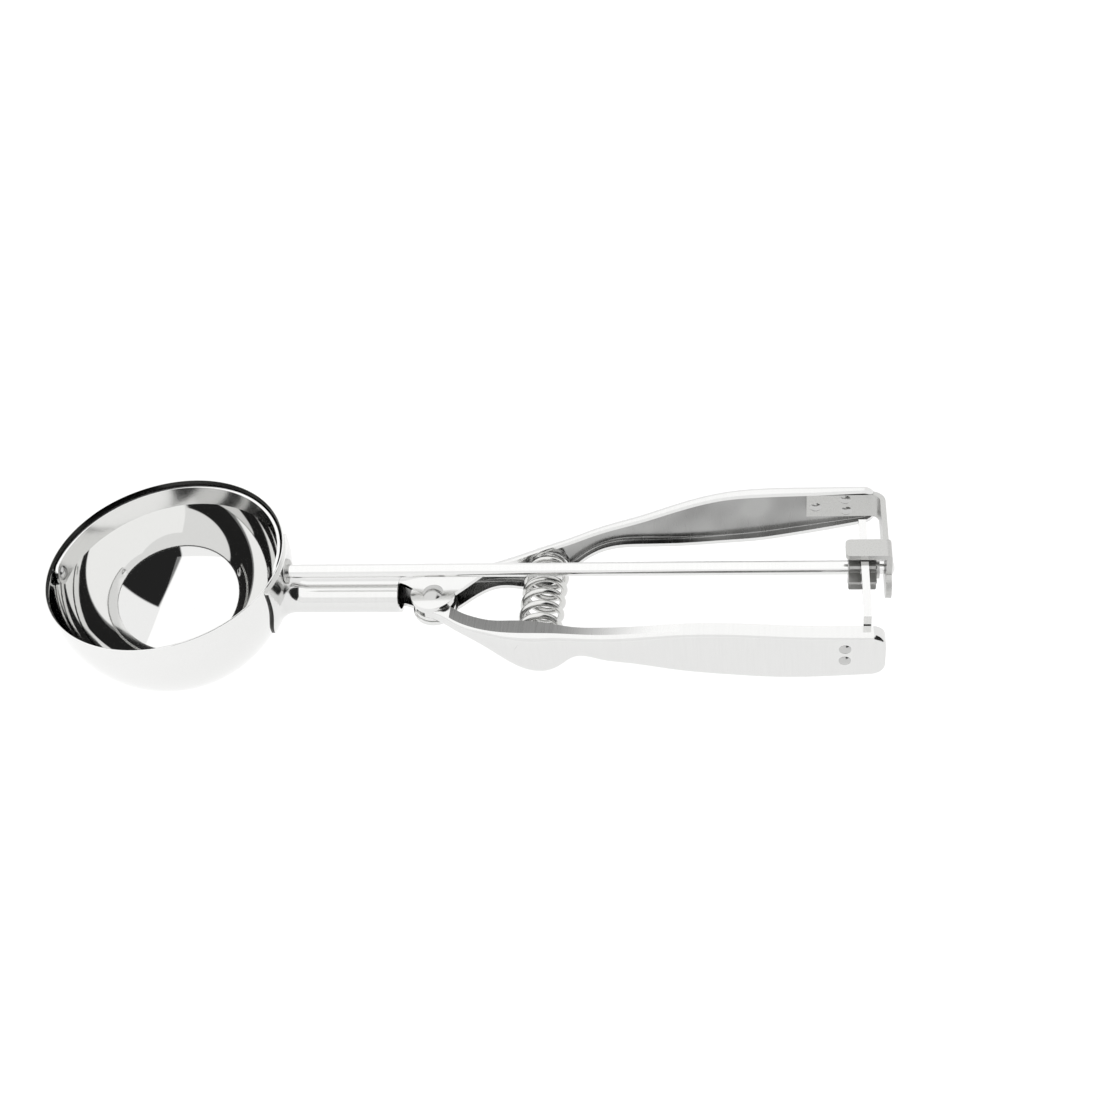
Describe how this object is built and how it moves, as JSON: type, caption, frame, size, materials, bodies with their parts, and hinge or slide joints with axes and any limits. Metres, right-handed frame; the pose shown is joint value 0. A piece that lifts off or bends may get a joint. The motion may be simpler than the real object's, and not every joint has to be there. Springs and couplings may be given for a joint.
{
  "type": "ice cream scoop",
  "caption": "Lever ice cream scoop: hemispherical bowl, sweeping scraper on a long spindle turned by a rack and pinion, spring-opened squeeze handles of pressed sheet",
  "frame": {"origin": "centre of the bowl's mouth, in the plane of its rim", "axes": "+X from the bowl along the spindle to the end of the handles, +Y towards the fixed handle, +Z out of the mouth of the bowl"},
  "size_m": [0.2434, 0.07, 0.0448],
  "materials": {
    "bowl_steel": "mirror-polished stainless steel",
    "handle_steel": "mirror-polished stainless steel sheet",
    "lever_steel": "mirror-polished stainless steel sheet",
    "scraper_steel": "polished stainless steel strip",
    "rivet_steel": "polished stainless steel rivet",
    "bush_steel": "turned stainless steel",
    "rod_steel": "drawn and polished stainless steel bar",
    "washer_steel": "turned stainless steel",
    "pinion_steel": "machined steel, dull",
    "rack_steel": "stamped stainless steel",
    "bracket_steel": "satin stainless steel strip",
    "hinge_steel": "polished stainless steel rivet",
    "spring_steel": "bright drawn spring wire"
  },
  "bodies": {
    "frame": {"bowl": "bowl_steel", "fixed_handle": "handle_steel", "scraper_tip_rivet": "rivet_steel", "spindle_bush": "bush_steel", "hinge_rivet": "hinge_steel", "end_bracket": "bracket_steel", "bracket_rivets": "rivet_steel", "return_spring": "spring_steel"},
    "lever": {"lever_handle": "lever_steel", "rack": "rack_steel", "rack_rivets": "rivet_steel"},
    "spindle": {"spindle_rod": "rod_steel", "thrust_washer": "washer_steel", "pinion": "pinion_steel", "scraper": "scraper_steel"}
  },
  "joints": [
    {"name": "lever_hinge", "type": "hinge", "parent": "frame", "child": "lever", "pos_m": [0.0785, -0.0034, -0.0138], "axis": [0, 0, 1], "range_deg": [0, 7], "stiffness_Nm_per_rad": 3.75, "springref_deg": -4.58, "deforming": ["return_spring"]},
    {"name": "spindle_turn", "type": "hinge", "parent": "frame", "child": "spindle", "pos_m": [0, 0, -0.0048], "axis": [1, 0, 0], "range_deg": [-176, 0]}
  ],
  "couplings": [
    {"joint": "spindle_turn", "follows": "lever_hinge", "ratio": -25.04}
  ]
}
